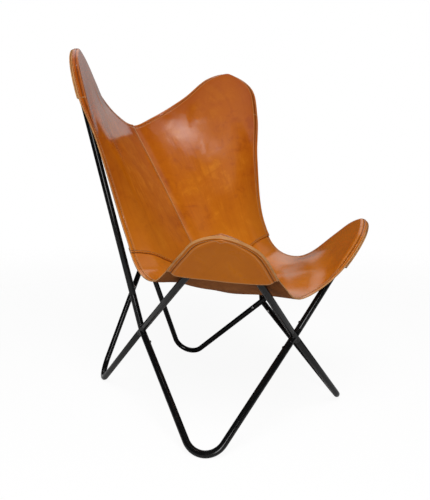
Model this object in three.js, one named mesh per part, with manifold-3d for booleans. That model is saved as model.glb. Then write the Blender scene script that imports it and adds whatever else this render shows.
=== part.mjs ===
// A butterfly sling chair: a leather sling hung by four pockets on a bolted frame of bent steel tube.
// Millimetres. X is across the chair with +X on the sitter's left, the front faces -Y and +Z is up.
// The origin is on the floor, in the middle of the chair. Left and right are the sitter's.

import * as THREE from "three";
import { mergeVertices } from "three/addons/utils/BufferGeometryUtils.js";
import Module from "manifold-3d";

// Frame tube
const ROD_DIAMETER = 16;
const ROD_WALL = 1.5;
const SEAT_GAP = 0.3;
const FOOT_FLAT_DEPTH = 0.5;
const OVERRUN = 4;

// The four crossings, each on the centre lines of the rods that meet there
const SIDE_CROSSING_X = 218;
const SIDE_CROSSING_Y = 6;
const SIDE_CROSSING_Z = 218;
const FRONT_CROSSING_Y = -289;
const FRONT_CROSSING_Z = 226;
const BACK_CROSSING_Y = 291;
const BACK_CROSSING_Z = 347;

// Bends: the middle of each arc and its radius on the centre line
const FRONT_FOOT_X = 216;
const FRONT_FOOT_Y = -225;
const FRONT_FOOT_RADIUS = 48;
const BACK_FOOT_X = 152;
const BACK_FOOT_Y = 265;
const BACK_FOOT_RADIUS = 50;
const BACK_LOOP_X = 245;
const BACK_LOOP_Y = 196;
const BACK_LOOP_Z = 808;
const BACK_LOOP_RADIUS = 78;
const FRONT_LOOP_X = 220;
const FRONT_LOOP_Y = -282;
const FRONT_LOOP_Z = 432;
const FRONT_LOOP_RADIUS = 36;

// Connectors at the crossings and the screws that hold the rods on them
const ARM_LENGTH = 19;
const BACK_ARM_LENGTH = 23;
const TALL_ARM_LENGTH = 90;
const SPIGOT_LENGTH = 30;
const SCREW_SETBACK = 17;
const SCREW_SHANK_DIAMETER = 3.4;
const SCREW_SHANK_LENGTH = 7;
const SCREW_HEAD_DIAMETER = 7;
const SCREW_HEAD_HEIGHT = 2.2;
const SCREW_HEAD_EDGE = 0.8;

// Leather
const LEATHER = 3;
const SEWN_GAP = 0.6;
const LAP = 13;
const HEM = 5;
const BACK_MARGIN = 20;
const FRONT_MARGIN = 34;
const BACK_RIM = 17;
const FRONT_RIM = 21;

// The sling's edge. The lip is the middle of the front and the notch is the middle of the top.
const LIP_FORWARD = 20;
const LIP_RISE = 92;
const NOTCH_BACK = 59;
const NOTCH_RISE = 396;

// Edge points beside each loop rod: the share of the way along the rod from the side crossing to the
// middle one, then how far outside the tube and how far lifted towards the sitter, as shares of the margin.
const FRONT_EDGE_SHARES = [[0.757, 0.95, 0.1], [0.6, 0.85, -0.05]];
const FRONT_TIP_SHARES = [0.534, 0.56, -0.12];
const FRONT_SIDE_SHARES = [[0.49, 0.81, -0.06], [0.424, 1, -0.12], [0.242, 1.12, 0.44]];
const BACK_SIDE_SHARES = [
  [0.107, 2.5, 1.9], [0.177, 0.55, 1.05], [0.319, 0.2, 0.5], [0.423, 0.62, -0.3], [0.483, 0.57, -0.25],
];
const BACK_TIP_SHARES = [0.536, 0.77, -0.2];
const TOP_EDGE_SHARES = [[0.574, 0.87, 0], [0.627, 2.4, 0], [0.7, 5.9, 1.3]];

// The line down the middle, from the lip to the notch, as shares of the way back and the way up
const MIDDLE_SHARES = [[0.155, -0.018], [0.337, -0.052], [0.452, -0.026], [0.576, 0.202], [0.78, 0.598]];
// How fast the hollow of the middle line fades towards the sides
const HOLLOW_FADE_SHARE = 1.9;

// Where the seat seam and the pocket mouths lie, as shares of the sling's length and half width
const SEAM_SHARE = 0.4;
const BACK_MOUTH_SHARES = [0.46, 0.19];
const FRONT_MOUTH_SHARES = [0.55, 0.185];
const MOUTH_BOW_SHARE = 0.31;
const MOUTH_FADE_SHARE = 0.72;

// The leather lies over the rods like a tent over its ridge
const RIDGE_CLEARANCE = 1.5;
const RIDGE_ROUND = 16;
const RIDGE_SLOPE_SHARE = 0.6;
const RIDGE_BLEND = 8;

// Fineness of the surfaces, in counts and in shares of the sling's half width and length
const ROD_SIDES = 14;
const BORE_SIDES = 10;
const BEND_STEPS = 8;
const LINE_STEPS = 24;
const SCREW_SIDES = 8;
const INNER_COLUMNS = 12;
const BACK_ROWS = 17;
const SEAT_ROWS = 9;
const RIM_COLUMN_SHARES = [0.92, 0.945, 0.965, 0.983, 1];
const RIM_ROW_SHARES = [0.972, 0.981, 0.988, 0.9945, 1];
const POCKET_RINGS = 8;
const POCKET_SPOKE_SHARES = [0, 0.03, 0.07, 0.12, 0.2, 0.3, 0.4, 0.5, 0.6, 0.7, 0.8, 0.88, 0.93, 0.97, 1];
const NUDGE_SHARE = 0.004;
const SETTLE_ROUNDS = 12;
const WELD = 1e-5;

const rodRadius = ROD_DIAMETER / 2;
const boreRadius = rodRadius - ROD_WALL;
const spigotRadius = boreRadius * Math.cos(Math.PI / BORE_SIDES) - SEAT_GAP;

const steel = new THREE.MeshStandardMaterial({ color: 0x111113, roughness: 0.35, metalness: 0.2 });
const zinc = new THREE.MeshStandardMaterial({ color: 0xb9bbbd, roughness: 0.3, metalness: 0.9 });
const leather = new THREE.MeshStandardMaterial({ color: 0xb2601a, roughness: 0.4, metalness: 0 });
const pocketLeather = new THREE.MeshStandardMaterial({ color: 0x9c5216, roughness: 0.5, metalness: 0 });

const chair = new THREE.Group();

function place(name, geometry, material) {
  const mesh = new THREE.Mesh(geometry, material);
  mesh.name = name;
  chair.add(mesh);
}

const offset = (point, direction, distance) => point.clone().addScaledVector(direction, distance);
const toward = (from, to) => to.clone().sub(from).normalize();
const mirrored = (point) => new THREE.Vector3(-point.x, point.y, point.z);
const between = THREE.MathUtils.lerp;
const eased = (share) => THREE.MathUtils.smoothstep(share, 0, 1);

// Joining and cutting

const wasm = await Module();
wasm.setup();

function solid(geometry) {
  const bare = geometry.clone();
  bare.deleteAttribute("normal");
  bare.deleteAttribute("uv");
  const whole = mergeVertices(bare, WELD);
  return new wasm.Manifold(new wasm.Mesh({
    numProp: 3,
    vertProperties: new Float32Array(whole.attributes.position.array),
    triVerts: new Uint32Array(whole.index.array),
  }));
}

function geometryOf(manifold) {
  const mesh = manifold.getMesh();
  const geometry = new THREE.BufferGeometry();
  geometry.setAttribute("position", new THREE.BufferAttribute(mesh.vertProperties, 3));
  geometry.setIndex(new THREE.BufferAttribute(mesh.triVerts, 1));
  return geometry;
}

function turnedAlong(geometry, direction) {
  return geometry.applyQuaternion(new THREE.Quaternion().setFromUnitVectors(new THREE.Vector3(0, 1, 0), direction));
}

function bar(from, direction, start, end, radius, sides) {
  const geometry = turnedAlong(new THREE.CylinderGeometry(radius, radius, end - start, sides), direction);
  return geometry.translate(...offset(from, direction, (start + end) / 2));
}

// A bent rod's centre line: straight from a, round an arc on the far side of its middle, straight to b
class Bend {
  constructor(a, b, middle, radius) {
    const toA = a.clone().sub(middle);
    const toB = b.clone().sub(middle);
    const openA = Math.acos(radius / toA.length());
    const openB = Math.acos(radius / toB.length());
    Object.assign(this, { a, b, middle, radius });
    this.normal = toA.clone().cross(toB).normalize();
    this.firstSpoke = toA.clone().normalize().applyAxisAngle(this.normal, -openA);
    this.sweep = 2 * Math.PI - openA - openB - toA.angleTo(toB);
    this.arcStart = this.arcPoint(0);
    this.arcEnd = this.arcPoint(1);
    this.legA = a.distanceTo(this.arcStart);
    this.legB = b.distanceTo(this.arcEnd);
  }
  spoke(share) {
    return this.firstSpoke.clone().applyAxisAngle(this.normal, -this.sweep * share);
  }
  arcPoint(share) {
    return offset(this.middle, this.spoke(share), this.radius);
  }
  arcTangent(share) {
    return this.spoke(share).cross(this.normal);
  }
  // The side of the rod's plane that the sitter is on
  get up() {
    const sitter = new THREE.Vector3(0, -this.middle.y / 2, this.middle.z);
    return this.normal.clone().multiplyScalar(Math.sign(this.normal.dot(sitter.sub(this.middle))));
  }
  // A place beside the rod, outside its bend and lifted towards the sitter
  beside(share, outward, lift) {
    const arc = this.sweep * this.radius;
    const run = share * (this.legA + arc + this.legB);
    const turn = THREE.MathUtils.clamp((run - this.legA) / arc, 0, 1);
    const past = Math.min(run - this.legA, 0) + Math.max(run - this.legA - arc, 0);
    const onRod = offset(this.arcPoint(turn), this.arcTangent(turn), past);
    return offset(offset(onRod, this.spoke(turn), outward), this.up, lift);
  }
  // How far a point lies from the centre line, measured in the rod's plane
  distanceInPlane(point) {
    const flat = offset(point, this.normal, this.middle.clone().sub(point).dot(this.normal));
    const toLeg = (end, tangentPoint) => new THREE.Line3(end, tangentPoint)
      .closestPointToPoint(flat, true, new THREE.Vector3()).distanceTo(flat);
    const spoke = flat.clone().sub(this.middle);
    const onArc = spoke.angleTo(this.spoke(0.5)) <= this.sweep / 2;
    const toArc = onArc ? Math.abs(spoke.length() - this.radius) : Infinity;
    return Math.min(toLeg(this.a, this.arcStart), toLeg(this.b, this.arcEnd), toArc);
  }
}

// A foot's arc is raised until the tube just stands on the floor, less its worn flat.
function footBend(a, b, x, y, radius) {
  let height = radius;
  let bend;
  for (let round = 0; round < SETTLE_ROUNDS; round += 1) {
    bend = new Bend(a, b, new THREE.Vector3(x, y, height), radius);
    height = rodRadius - FOOT_FLAT_DEPTH + radius * Math.sqrt(1 - bend.normal.z ** 2);
  }
  return bend;
}

// The rings of a bent rod: one step for each straight leg and several for the bend
class RodPath extends THREE.Curve {
  constructor(bend, trimA, trimB) {
    super();
    this.points = [offset(bend.a, toward(bend.a, bend.arcStart), trimA)];
    this.tangents = [bend.arcTangent(0)];
    for (let step = 0; step <= BEND_STEPS; step += 1) {
      this.points.push(bend.arcPoint(step / BEND_STEPS));
      this.tangents.push(bend.arcTangent(step / BEND_STEPS));
    }
    this.points.push(offset(bend.b, toward(bend.b, bend.arcEnd), trimB));
    this.tangents.push(bend.arcTangent(1));
  }
  ring(share) {
    return Math.round(share * (this.points.length - 1));
  }
  getPointAt(share, target = new THREE.Vector3()) {
    return target.copy(this.points[this.ring(share)]);
  }
  getTangentAt(share, target = new THREE.Vector3()) {
    return target.copy(this.tangents[this.ring(share)]);
  }
}

function circle(radius, sides) {
  const points = [];
  for (let side = 0; side < sides; side += 1) {
    const turn = side / sides * 2 * Math.PI;
    points.push(new THREE.Vector2(radius * Math.cos(turn), radius * Math.sin(turn)));
  }
  return points;
}

function tube(path) {
  const section = new THREE.Shape(circle(rodRadius, ROD_SIDES));
  section.holes.push(new THREE.Path(circle(boreRadius, BORE_SIDES).reverse()));
  return new THREE.ExtrudeGeometry(section, {
    steps: path.points.length - 1, bevelEnabled: false, extrudePath: path,
  });
}

// The frame's lines for one side: 1 is the sitter's left and -1 the right.
const frontCrossing = new THREE.Vector3(0, FRONT_CROSSING_Y, FRONT_CROSSING_Z);
const backCrossing = new THREE.Vector3(0, BACK_CROSSING_Y, BACK_CROSSING_Z);

function frameSide(side) {
  const sideCrossing = new THREE.Vector3(side * SIDE_CROSSING_X, SIDE_CROSSING_Y, SIDE_CROSSING_Z);
  const backMiddle = new THREE.Vector3(side * BACK_LOOP_X, BACK_LOOP_Y, BACK_LOOP_Z);
  const frontMiddle = new THREE.Vector3(side * FRONT_LOOP_X, FRONT_LOOP_Y, FRONT_LOOP_Z);
  return {
    frontFoot: footBend(sideCrossing, frontCrossing, side * FRONT_FOOT_X, FRONT_FOOT_Y, FRONT_FOOT_RADIUS),
    backFoot: footBend(sideCrossing, backCrossing, side * BACK_FOOT_X, BACK_FOOT_Y, BACK_FOOT_RADIUS),
    backLoop: new Bend(sideCrossing, backCrossing, backMiddle, BACK_LOOP_RADIUS),
    frontLoop: new Bend(sideCrossing, frontCrossing, frontMiddle, FRONT_LOOP_RADIUS),
  };
}

const frame = { left: frameSide(1), right: frameSide(-1) };

// A joint is one rod end at a crossing: the connector's arm, its spigot inside the rod, and a screw.
function jointAt(crossing, rod, start, tangentPoint, armLength) {
  return { crossing, rod, start, direction: toward(start, tangentPoint), armLength };
}

const joints = [];
for (const [side, { frontFoot, backFoot, backLoop, frontLoop }] of Object.entries(frame)) {
  const rods = [
    [`front_foot_rod_${side}`, frontFoot, ARM_LENGTH, "front", ARM_LENGTH],
    [`back_foot_rod_${side}`, backFoot, ARM_LENGTH, "back", BACK_ARM_LENGTH],
    [`back_loop_rod_${side}`, backLoop, TALL_ARM_LENGTH, "back", BACK_ARM_LENGTH],
    [`front_loop_rod_${side}`, frontLoop, ARM_LENGTH, "front", ARM_LENGTH],
  ];
  for (const [rod, bend, sideArm, crossing, crossingArm] of rods) {
    joints.push(jointAt(`side_${side}`, rod, bend.a, bend.arcStart, sideArm));
    joints.push(jointAt(crossing, rod, bend.b, bend.arcEnd, crossingArm));
  }
}

// Screws point out of the plane of their crossing, on the side that faces the middle of the chair.
const crossings = Map.groupBy(joints, (joint) => joint.crossing);
for (const group of crossings.values()) {
  const inward = new THREE.Vector3(-group[0].start.x, -group[0].start.y, 0);
  const normal = group[0].direction.clone().cross(group[1].direction);
  normal.multiplyScalar(Math.sign(normal.dot(inward)));
  for (const joint of group) {
    joint.screwAxis = offset(normal, joint.direction, -normal.dot(joint.direction)).normalize();
    joint.screwBase = offset(joint.start, joint.direction, joint.armLength + SCREW_SETBACK);
  }
}

function screwHole(joint) {
  const radius = SCREW_SHANK_DIAMETER / 2 + SEAT_GAP;
  const bottom = rodRadius - SCREW_SHANK_LENGTH;
  return solid(bar(joint.screwBase, joint.screwAxis, bottom, rodRadius + OVERRUN, radius, SCREW_SIDES));
}

// Rods, with a screw hole at each end and the feet worn flat where they rest
function floorBlock(bend) {
  const reach = 2 * (bend.radius + rodRadius);
  return solid(new THREE.BoxGeometry(reach, reach, OVERRUN).translate(bend.middle.x, bend.middle.y, -OVERRUN / 2));
}

function makeRod(name, bend, cutter) {
  const ends = joints.filter((joint) => joint.rod === name);
  const [trimA, trimB] = ends.map((joint) => joint.armLength + SEAT_GAP);
  const drilled = ends.reduce((rod, joint) => rod.subtract(screwHole(joint)), solid(tube(new RodPath(bend, trimA, trimB))));
  place(name, geometryOf(cutter ? drilled.subtract(cutter) : drilled), steel);
}

for (const [side, half] of Object.entries(frame)) {
  makeRod(`front_foot_rod_${side}`, half.frontFoot, floorBlock(half.frontFoot));
  makeRod(`back_foot_rod_${side}`, half.backFoot, floorBlock(half.backFoot));
  makeRod(`back_loop_rod_${side}`, half.backLoop);
  makeRod(`front_loop_rod_${side}`, half.frontLoop);
}

// Connectors: four arms joined where they cross, each with a spigot that slides into its rod
function makeConnector(name, group) {
  const pieces = group.map((joint) => {
    const { start, direction, armLength } = joint;
    const arm = solid(bar(start, direction, -SEAT_GAP, armLength, rodRadius, ROD_SIDES));
    const spigot = solid(bar(start, direction, 0, armLength + SPIGOT_LENGTH, spigotRadius, BORE_SIDES));
    return arm.add(spigot).subtract(screwHole(joint));
  });
  place(name, geometryOf(pieces.reduce((body, piece) => body.add(piece))), steel);
}

// Pan-head screws
function makeScrew(name, joint) {
  const shank = SCREW_SHANK_DIAMETER / 2;
  const head = SCREW_HEAD_DIAMETER / 2;
  const seat = rodRadius + SEAT_GAP;
  const tip = seat - SCREW_SHANK_LENGTH + SEAT_GAP;
  const top = seat + SCREW_HEAD_HEIGHT;
  const profile = [[0, tip], [shank, tip], [shank, seat], [head, seat], [head, seat + SCREW_HEAD_EDGE], [shank, top], [0, top]];
  const turned = new THREE.LatheGeometry(profile.map((point) => new THREE.Vector2(...point)), SCREW_SIDES);
  place(name, geometryOf(solid(turnedAlong(turned, joint.screwAxis).translate(...joint.screwBase))), zinc);
}

for (const [crossing, group] of crossings) {
  makeConnector(`${crossing}_connector`, group);
  group.forEach((joint, index) => makeScrew(`${crossing}_screw_${index + 1}`, joint));
}

// The sling's edge, from the lip round the left half to the notch and back round the right half

const lip = new THREE.Vector3(0, FRONT_CROSSING_Y - LIP_FORWARD, FRONT_CROSSING_Z + LIP_RISE);
const notch = new THREE.Vector3(0, BACK_CROSSING_Y + NOTCH_BACK, BACK_CROSSING_Z + NOTCH_RISE);
const besideLoop = (bend, margin) => ([share, outward, lift]) =>
  bend.beside(share, rodRadius + outward * margin, lift * margin);
const besideFront = besideLoop(frame.left.frontLoop, FRONT_MARGIN);
const besideBack = besideLoop(frame.left.backLoop, BACK_MARGIN);

const frontEdge = [lip, ...[...FRONT_EDGE_SHARES, FRONT_TIP_SHARES].map(besideFront)];
const sideEdge = [...FRONT_SIDE_SHARES.map(besideFront), ...[...BACK_SIDE_SHARES, BACK_TIP_SHARES].map(besideBack)];
const topEdge = [...TOP_EDGE_SHARES.map(besideBack), notch];
const leftHalf = [...frontEdge, ...sideEdge, ...topEdge];
const edgePoints = [...leftHalf, ...leftHalf.slice(1, -1).reverse().map(mirrored)];
const middlePoints = [lip, ...MIDDLE_SHARES.map(([back, up]) =>
  new THREE.Vector3(0, between(lip.y, notch.y, back), between(lip.z, notch.z, up))), notch];

// A stretch of a smooth line between two of its points, read by the share of the way along it
function stretch(curve, pointCount, from, to) {
  const spots = [];
  const total = (to - from) * LINE_STEPS;
  for (let step = 0; step <= total; step += 1) {
    spots.push(curve.getPoint((from + step / LINE_STEPS) / pointCount));
  }
  const runs = [0];
  spots.slice(1).forEach((spot, index) => runs.push(runs[index] + spot.distanceTo(spots[index])));
  const length = runs[runs.length - 1];
  const read = (share) => {
    const run = THREE.MathUtils.clamp(share, 0, 1) * length;
    const next = Math.max(runs.findIndex((value) => value >= run), 1);
    return spots[next - 1].clone().lerp(spots[next], (run - runs[next - 1]) / (runs[next] - runs[next - 1]));
  };
  return { read, length };
}

const edge = new THREE.CatmullRomCurve3(edgePoints, true, "centripetal");
const frontTipIndex = frontEdge.length - 1;
const backTipIndex = frontTipIndex + sideEdge.length;
const frontLine = stretch(edge, edgePoints.length, 0, frontTipIndex);
const sideLine = stretch(edge, edgePoints.length, frontTipIndex, backTipIndex);
const topLine = stretch(edge, edgePoints.length, backTipIndex, leftHalf.length - 1);
const middleCurve = new THREE.CatmullRomCurve3(middlePoints, false, "centripetal");
const middleLine = stretch(middleCurve, middlePoints.length - 1, 0, middlePoints.length - 1);

// The sling's middle surface. Across is 0 in the middle, 1 at the left edge and -1 at the right one;
// along is 0 at the front and 1 at the top.

const narrowed = (point, share) => new THREE.Vector3(point.x * share, point.y, point.z);

function spanned(width, along) {
  const base = narrowed(sideLine.read(along), width);
  base.addScaledVector(frontLine.read(width).sub(narrowed(sideLine.read(0), width)), 1 - along);
  return base.addScaledVector(topLine.read(1 - width).sub(narrowed(sideLine.read(1), width)), along);
}

function hung(across, along) {
  const width = Math.abs(across);
  const hollow = middleLine.read(along).sub(spanned(0, along));
  const point = spanned(width, along).addScaledVector(hollow, (1 - width ** 2) ** HOLLOW_FADE_SHARE);
  return across < 0 ? mirrored(point) : point;
}

const corners = Object.entries(frame).flatMap(([side, { backLoop, frontLoop }]) => [
  { side, end: "back", along: 1, bend: backLoop, mouthShares: BACK_MOUTH_SHARES, rim: BACK_RIM },
  { side, end: "front", along: 0, bend: frontLoop, mouthShares: FRONT_MOUTH_SHARES, rim: FRONT_RIM },
]);
const cornerOf = (across, along) => corners.find((corner) =>
  corner.side === (across < 0 ? "right" : "left") && corner.along === Math.round(along));

// How far a place is from its corner, where 1 is the pocket's mouth
function depthFrom(corner, across, along) {
  const [acrossShare, alongShare] = corner.mouthShares;
  return (1 - Math.abs(across)) / acrossShare + Math.abs(along - corner.along) / alongShare;
}

// How much of its full height over the rod the leather has, from 0 along the sewn hem to 1
function rimRise(corner, across, along) {
  const here = hung(across, along);
  const toEnd = here.distanceTo(hung(across, corner.along));
  const toSide = here.distanceTo(hung(across < 0 ? -1 : 1, along));
  const inside = THREE.MathUtils.clamp((Math.min(toEnd, toSide) - HEM) / (corner.rim - HEM), 0, 1);
  return 1 - (1 - inside) ** 2;
}

function softMaximum(a, b, blend) {
  const overlap = Math.max(blend - Math.abs(a - b), 0) / blend;
  return Math.max(a, b) + overlap ** 2 * blend / 4;
}

const restHeight = rodRadius + SEAT_GAP + LEATHER / 2;
const sewnHeight = (LEATHER + SEWN_GAP) / 2;

// The middle of the sling's leather (layer 1), or of the pocket sewn under it (layer -1)
function surface(across, along, layer) {
  const corner = cornerOf(across, along);
  const { bend } = corner;
  const point = hung(across, along);
  const own = point.clone().sub(bend.middle).dot(bend.up);
  const slope = RIDGE_SLOPE_SHARE * (Math.hypot(bend.distanceInPlane(point), RIDGE_ROUND) - RIDGE_ROUND);
  const draped = softMaximum(own, restHeight + RIDGE_CLEARANCE - slope, RIDGE_BLEND);
  const sewn = between(own + layer * sewnHeight, layer * restHeight, rimRise(corner, across, along));
  const hold = layer < 0 ? 1 : 1 - eased((depthFrom(corner, across, along) - 1) / MOUTH_FADE_SHARE);
  return offset(point, bend.up, between(draped, sewn, hold) - own);
}

// The sitter's side of the leather at a place
function normalAt(across, along, layer) {
  const at = (a, b) => surface(THREE.MathUtils.clamp(a, -1, 1), THREE.MathUtils.clamp(b, 0, 1), layer);
  const acrossStep = at(across + NUDGE_SHARE, along, layer).sub(at(across - NUDGE_SHARE, along, layer));
  const alongStep = at(across, along + NUDGE_SHARE, layer).sub(at(across, along - NUDGE_SHARE, layer));
  const normal = acrossStep.clone().cross(alongStep);
  const flat = normal.length() < NUDGE_SHARE * acrossStep.length() * alongStep.length();
  return flat ? cornerOf(across, along).bend.up : normal.normalize();
}

function leatherPoint(across, along, layer, drop = 0) {
  const normal = normalAt(across, along, layer);
  return { point: offset(surface(across, along, layer), normal, -drop), normal };
}

// A closed sheet with the given thickness, from rows of middle points that each have a normal
function sheet(rows, thickness) {
  const height = rows.length;
  const width = rows[0].length;
  const positions = [1, -1].flatMap((side) =>
    rows.flat().flatMap(({ point, normal }) => offset(point, normal, side * thickness / 2).toArray()));
  const vertex = (row, column, under) => under * height * width + row * width + column;
  const index = [];
  const quad = (a, b, c, d) => index.push(a, b, c, a, c, d);
  const rim = [];
  for (let row = 0; row < height - 1; row += 1) {
    for (let column = 0; column < width - 1; column += 1) {
      const ring = [[row, column], [row, column + 1], [row + 1, column + 1], [row + 1, column]];
      quad(...ring.map((spot) => vertex(...spot, 0)));
      quad(...ring.map((spot) => vertex(...spot, 1)).reverse());
    }
  }
  for (let column = 0; column < width - 1; column += 1) {
    rim.push([[0, column], [0, column + 1]], [[height - 1, column + 1], [height - 1, column]]);
  }
  for (let row = 0; row < height - 1; row += 1) {
    rim.push([[row, width - 1], [row + 1, width - 1]], [[row + 1, 0], [row, 0]]);
  }
  rim.forEach(([from, to]) => quad(vertex(...from, 1), vertex(...to, 1), vertex(...to, 0), vertex(...from, 0)));
  const geometry = new THREE.BufferGeometry();
  geometry.setAttribute("position", new THREE.Float32BufferAttribute(positions, 3));
  geometry.setIndex(index);
  return geometry;
}

function evenly(from, to, count) {
  const values = [];
  for (let step = 0; step < count; step += 1) {
    values.push(between(from, to, step / count));
  }
  return values;
}

// The grid that the three panels share, with lines at the seams and closer lines along the rims
const halfWidth = spanned(0, SEAM_SHARE).distanceTo(sideLine.read(SEAM_SHARE));
const lapAcross = LAP / halfWidth;
const gapAcross = SEAT_GAP / halfWidth;
const lapAlong = LAP / middleLine.length;
const gapAlong = SEAT_GAP / middleLine.length;
const leftColumns = [lapAcross, ...evenly(2 * lapAcross, RIM_COLUMN_SHARES[0], INNER_COLUMNS), ...RIM_COLUMN_SHARES];
const rightColumns = leftColumns.map((across) => -across).reverse();
const seamEnd = SEAM_SHARE + lapAlong;
const frontRows = [...RIM_ROW_SHARES.map((share) => 1 - share).reverse(),
  ...evenly(1 - RIM_ROW_SHARES[0], SEAM_SHARE - lapAlong, SEAT_ROWS).slice(1), SEAM_SHARE - lapAlong];
const backRows = [seamEnd, ...evenly(seamEnd, RIM_ROW_SHARES[0], BACK_ROWS).slice(1), ...RIM_ROW_SHARES];

// Under a lap a panel drops by its own thickness, over the width of the lap before it.
const underDrop = LEATHER + SEWN_GAP;
const leftDrop = (across) => underDrop * eased(1 - across / lapAcross);
const doubleDrop = (across) => (across < -lapAcross ? underDrop * eased(2 + across / lapAcross) : leftDrop(across));
const seatDrop = (across, along) => (underDrop + doubleDrop(across)) * eased((along - SEAM_SHARE) / lapAlong + 1);

function makePanel(name, rows, columns, dropAt) {
  const grid = rows.map((along) => columns.map((across) => leatherPoint(across, along, 1, dropAt(across, along))));
  place(name, sheet(grid, LEATHER), leather);
}

makePanel("seat_panel", [...frontRows, SEAM_SHARE, seamEnd], [...rightColumns, 0, ...leftColumns], seatDrop);
makePanel("back_panel_right", [SEAM_SHARE + gapAlong, ...backRows], [...rightColumns, 0], () => 0);
makePanel("back_panel_left", [SEAM_SHARE + gapAlong, ...backRows], [-lapAcross, -gapAcross, ...leftColumns], leftDrop);

// Pockets: a leaf of leather sewn under each corner along its rim, open at the mouth for the loop
function makePocket({ side, end, along, mouthShares: [acrossShare, alongShare] }) {
  const sign = side === "left" ? 1 : -1;
  const rings = [];
  for (let ring = 0; ring <= POCKET_RINGS; ring += 1) {
    rings.push(POCKET_SPOKE_SHARES.map((swing) => {
      const reach = ring / POCKET_RINGS * (1 + MOUTH_BOW_SHARE * Math.sin(Math.PI * swing));
      const inset = alongShare * reach * swing;
      return leatherPoint(sign * (1 - acrossShare * reach * (1 - swing)), Math.abs(along - inset), -1);
    }));
  }
  const rows = sign * (along - SEAM_SHARE) < 0 ? rings : rings.map((ring) => ring.reverse());
  place(`${end}_pocket_${side}`, geometryOf(solid(sheet(rows, LEATHER))), pocketLeather);
}

corners.forEach(makePocket);

export default chair;
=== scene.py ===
"""A butterfly sling chair: tan leather hung on a black frame of bent steel tube.

Metres. X is across the chair with +X on the sitter's left, the front faces -Y and +Z is up.
The frame's sizes are those of the part's source; left and right are the sitter's.
"""
import math

import bpy
import numpy as np
from mathutils import Matrix, Quaternion, Vector
from mathutils.kdtree import KDTree


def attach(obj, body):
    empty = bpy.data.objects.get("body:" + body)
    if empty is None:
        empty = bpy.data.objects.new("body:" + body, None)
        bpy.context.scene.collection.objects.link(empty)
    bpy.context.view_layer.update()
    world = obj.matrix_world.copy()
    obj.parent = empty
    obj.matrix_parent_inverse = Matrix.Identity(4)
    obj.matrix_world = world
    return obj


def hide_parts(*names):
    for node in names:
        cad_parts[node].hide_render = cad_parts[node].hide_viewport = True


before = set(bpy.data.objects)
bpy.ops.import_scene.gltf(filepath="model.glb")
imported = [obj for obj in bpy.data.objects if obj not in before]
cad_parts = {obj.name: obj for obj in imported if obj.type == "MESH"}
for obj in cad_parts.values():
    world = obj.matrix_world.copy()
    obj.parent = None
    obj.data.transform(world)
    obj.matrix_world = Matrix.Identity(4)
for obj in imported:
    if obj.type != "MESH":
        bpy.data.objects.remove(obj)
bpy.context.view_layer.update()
MM = 0.001

# Frame tube, crossings and bends
ROD_DIAMETER = 16 * MM
ROD_WALL = 1.5 * MM
SEAT_GAP = 0.3 * MM
FOOT_FLAT_DEPTH = 0.5 * MM
SIDE_CROSSING = Vector((218, 6, 218)) * MM
FRONT_CROSSING = Vector((0, -289, 226)) * MM
BACK_CROSSING = Vector((0, 291, 347)) * MM
FRONT_FOOT_X, FRONT_FOOT_Y, FRONT_FOOT_RADIUS = 216 * MM, -225 * MM, 48 * MM
BACK_FOOT_X, BACK_FOOT_Y, BACK_FOOT_RADIUS = 152 * MM, 265 * MM, 50 * MM
BACK_LOOP, BACK_LOOP_RADIUS = Vector((245, 196, 808)) * MM, 78 * MM
FRONT_LOOP, FRONT_LOOP_RADIUS = Vector((220, -282, 432)) * MM, 36 * MM

# Connectors and screws
ARM_LENGTH = 19 * MM
BACK_ARM_LENGTH = 23 * MM
TALL_ARM_LENGTH = 90 * MM
SPIGOT_LENGTH = 30 * MM
SPIGOT_RADIUS = 5.9 * MM
SCREW_SETBACK = 17 * MM
SCREW_HEAD_DIAMETER = 7 * MM
SCREW_HEAD_HEIGHT = 2.2 * MM
SCREW_SHANK_DIAMETER = 3.4 * MM
SCREW_SHANK_LENGTH = 6.7 * MM
HEAD_ROUND_SHARE = 0.7
RECESS_SIZE = (SCREW_HEAD_DIAMETER / 2 * 1.15, SCREW_HEAD_DIAMETER / 2 * 0.26, SCREW_HEAD_HEIGHT * 1.1)
FIRST_SCREW_TURN, SCREW_TURN_STEP = 0.4, 1.3
CROSSINGS = ("side_left", "front", "back", "side_right")

# Leather
LEATHER = 3 * MM
SEWN_GAP = 0.6 * MM
LAP = 13 * MM
LAP_FADE = 75 * MM
HEM = 5 * MM
BACK_MARGIN, BACK_RIM = 20 * MM, 17 * MM
FRONT_MARGIN, FRONT_RIM = 34 * MM, 21 * MM
LIP = FRONT_CROSSING + Vector((0, -20, 92)) * MM
NOTCH = BACK_CROSSING + Vector((0, 59, 396)) * MM
FRONT_EDGE_SHARES = [(0.757, 0.95, 0.1), (0.6, 0.85, -0.05)]
FRONT_TIP_SHARES = (0.534, 0.56, -0.12)
FRONT_SIDE_SHARES = [(0.49, 0.81, -0.06), (0.424, 1, -0.12), (0.242, 1.12, 0.44)]
BACK_SIDE_SHARES = [(0.107, 2.5, 1.9), (0.177, 0.55, 1.05), (0.319, 0.2, 0.5), (0.423, 0.62, -0.3),
                    (0.483, 0.57, -0.25)]
BACK_TIP_SHARES = (0.536, 0.77, -0.2)
TOP_EDGE_SHARES = [(0.574, 0.87, 0), (0.627, 2.4, 0), (0.7, 5.9, 1.3)]
MIDDLE_SHARES = [(0.155, -0.018), (0.337, -0.052), (0.452, -0.026), (0.576, 0.202), (0.78, 0.598)]
HOLLOW_FADE_SHARE = 1.9
SEAM_SHARE = 0.4
BACK_MOUTH_SHARES = (0.46, 0.19)
FRONT_MOUTH_SHARES = (0.55, 0.185)
MOUTH_BOW_SHARE = 0.31
MOUTH_FADE_SHARE = 0.72
RIDGE_CLEARANCE = 1.5 * MM
RIDGE_ROUND = 16 * MM
RIDGE_SLOPE_SHARE = 0.6
RIDGE_BLEND = 8 * MM

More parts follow.
